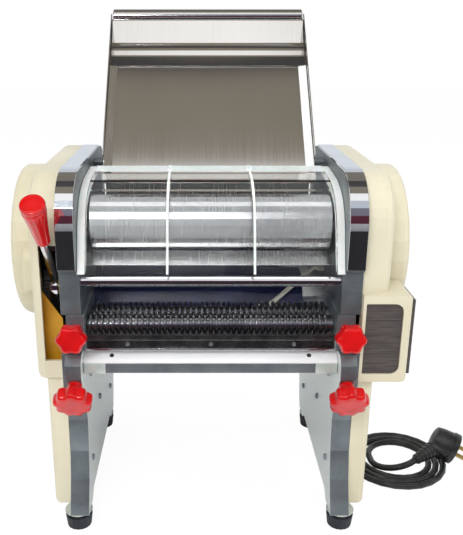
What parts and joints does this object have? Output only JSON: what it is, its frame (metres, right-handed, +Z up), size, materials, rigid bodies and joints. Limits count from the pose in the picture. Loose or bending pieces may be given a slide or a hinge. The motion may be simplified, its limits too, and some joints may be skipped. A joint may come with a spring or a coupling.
{
  "type": "dough sheeter",
  "caption": "Tabletop electric dough sheeter with two smooth rollers under a clear guard, a noodle cutter unit with red knobs, a thickness lever, a feed tray and a coiled mains lead.",
  "frame": {"origin": "centre of the underside of the machine's box, on the tabletop, without the free cord", "axes": "-Y is the front where the operator stands, +X is the operator's right, +Z is up"},
  "size_m": [0.4915, 0.334, 0.499],
  "materials": {
    "cream": "moulded cream plastic, satin",
    "cast": "cast and brushed aluminium",
    "chrome": "polished chrome plate",
    "stainless": "stainless sheet",
    "steel": "ground steel",
    "dark_steel": "dark steel",
    "brass": "brass",
    "red": "red knob plastic",
    "grey": "grey brown plastic",
    "rubber": "black rubber",
    "black": "black plastic",
    "blue": "dark blue enamel",
    "clear": "clear plastic sheet",
    "milky": "milky plastic",
    "cable": "pale cable sheath"
  },
  "bodies": {
    "frame": {"left_side_frame": "cast", "right_side_frame": "cast", "left_trim": "chrome", "right_trim": "chrome", "front_left_foot": "rubber", "front_right_foot": "rubber", "rear_left_foot": "rubber", "rear_right_foot": "rubber", "left_cover": "cream", "right_cover": "cream", "switch_window_plate": "grey", "switch_side_plate": "grey", "rear_left_bearing": "brass", "rear_right_bearing": "brass", "front_rail": "chrome", "front_tie_bar": "steel", "rear_tie_rod": "steel", "rear_panel": "stainless", "noodle_slide": "stainless", "front_scraper": "stainless", "motor": "blue", "motor_cable": "cable", "drive_belt": "rubber", "cord_gland": "black", "cord_lead": "black", "cord_coil": "black", "cord_tail": "black", "plug": "black"},
    "rear_roller": {"rear_roller": "steel", "rear_roller_gear": "steel", "main_gear": "steel", "large_pulley": "dark_steel"},
    "front_carrier": {"front_left_bearing": "brass", "front_right_bearing": "brass"},
    "front_roller": {"front_roller": "steel", "front_roller_gear": "steel"},
    "eccentrics": {"left_eccentric_bush": "brass", "right_eccentric_bush": "brass"},
    "lever": {"lever_arm": "chrome", "lever_grip": "red", "lever_sector": "brass"},
    "idler": {"idler_gear": "steel"},
    "motor_rotor": {"motor_shaft": "steel", "motor_pulley": "dark_steel"},
    "cutter_unit": {"cutter_left_block": "cast", "cutter_right_block": "cast", "comb_bar": "dark_steel"},
    "cutter_front": {"cutter_front_roller": "steel", "cutter_front_gear": "steel"},
    "cutter_rear": {"cutter_rear_roller": "steel", "cutter_rear_gear": "steel"},
    "upper_left_knob": {"upper_left_knob": "red"},
    "upper_right_knob": {"upper_right_knob": "red"},
    "lower_left_knob": {"lower_left_knob": "red"},
    "lower_right_knob": {"lower_right_knob": "red"},
    "hopper": {"hopper_tray": "stainless"},
    "guard": {"roller_guard": "clear", "left_guard_cheek": "milky", "right_guard_cheek": "milky"},
    "rocker": {"rocker_switch": "red"}
  },
  "joints": [
    {"name": "rear_roller_spin", "type": "hinge", "parent": "frame", "child": "rear_roller", "pos_m": [0, -0.01048, 0.28778], "axis": [1, 0, 0], "continuous": true},
    {"name": "idler_spin", "type": "hinge", "parent": "frame", "child": "idler", "pos_m": [0, -0.04387, 0.23055], "axis": [1, 0, 0], "continuous": true},
    {"name": "motor_spin", "type": "hinge", "parent": "frame", "child": "motor_rotor", "pos_m": [0, 0.02248, 0.186], "axis": [1, 0, 0], "continuous": true},
    {"name": "cutter_rear_spin", "type": "hinge", "parent": "cutter_unit", "child": "cutter_rear", "pos_m": [0, -0.06852, 0.2075], "axis": [1, 0, 0], "continuous": true},
    {"name": "cutter_front_spin", "type": "hinge", "parent": "cutter_unit", "child": "cutter_front", "pos_m": [0, -0.09352, 0.2075], "axis": [1, 0, 0], "continuous": true},
    {"name": "front_roller_spin", "type": "hinge", "parent": "front_carrier", "child": "front_roller", "pos_m": [0, -0.06152, 0.3005], "axis": [1, 0, 0], "continuous": true},
    {"name": "lever_turn", "type": "hinge", "parent": "frame", "child": "lever", "pos_m": [-0.1475, -0.07752, 0.241], "axis": [1, 0, 0], "range_deg": [0, 60]},
    {"name": "bush_turn", "type": "hinge", "parent": "frame", "child": "eccentrics", "pos_m": [0, -0.06302, 0.3031], "axis": [1, 0, 0], "range_deg": [-60, 0]},
    {"name": "front_roller_travel", "type": "slide", "parent": "frame", "child": "front_carrier", "axis": [0, -1, 0], "range_m": [0, 0.003]},
    {"name": "guard_swing", "type": "hinge", "parent": "frame", "child": "guard", "pos_m": [0, -0.00652, 0.3385], "axis": [1, 0, 0], "range_deg": [-65, 0]},
    {"name": "rocker_tilt", "type": "hinge", "parent": "frame", "child": "rocker", "pos_m": [0.1825, -0.09602, 0.204], "axis": [0, 1, 0], "range_deg": [-6, 6]},
    {"name": "cutter_unit_slide", "type": "slide", "parent": "frame", "child": "cutter_unit", "axis": [0, -1, 0], "range_m": [0, 0.09]},
    {"name": "upper_left_knob_turn", "type": "hinge", "parent": "cutter_unit", "child": "upper_left_knob", "pos_m": [-0.1262, -0.11502, 0.21], "axis": [0, -1, 0], "continuous": true},
    {"name": "upper_right_knob_turn", "type": "hinge", "parent": "cutter_unit", "child": "upper_right_knob", "pos_m": [0.1262, -0.11502, 0.21], "axis": [0, -1, 0], "continuous": true},
    {"name": "lower_left_knob_turn", "type": "hinge", "parent": "frame", "child": "lower_left_knob", "pos_m": [-0.1262, -0.12702, 0.161], "axis": [0, -0.866, -0.5], "continuous": true},
    {"name": "lower_right_knob_turn", "type": "hinge", "parent": "frame", "child": "lower_right_knob", "pos_m": [0.1262, -0.12702, 0.161], "axis": [0, -0.866, -0.5], "continuous": true},
    {"name": "tray_lift", "type": "slide", "parent": "frame", "child": "hopper", "axis": [0, 0.6794, 0.7337], "range_m": [0, 0.06]}
  ],
  "couplings": [
    {"joint": "idler_spin", "follows": "rear_roller_spin", "ratio": -0.96296},
    {"joint": "cutter_rear_spin", "follows": "rear_roller_spin", "ratio": 1.637},
    {"joint": "cutter_front_spin", "follows": "rear_roller_spin", "ratio": -1.637},
    {"joint": "front_roller_spin", "follows": "rear_roller_spin", "ratio": -1},
    {"joint": "motor_spin", "follows": "rear_roller_spin", "ratio": 3.7972},
    {"joint": "lever_turn", "follows": "front_roller_travel", "rad_per_m": 349.06},
    {"joint": "bush_turn", "follows": "front_roller_travel", "rad_per_m": -349.06}
  ]
}
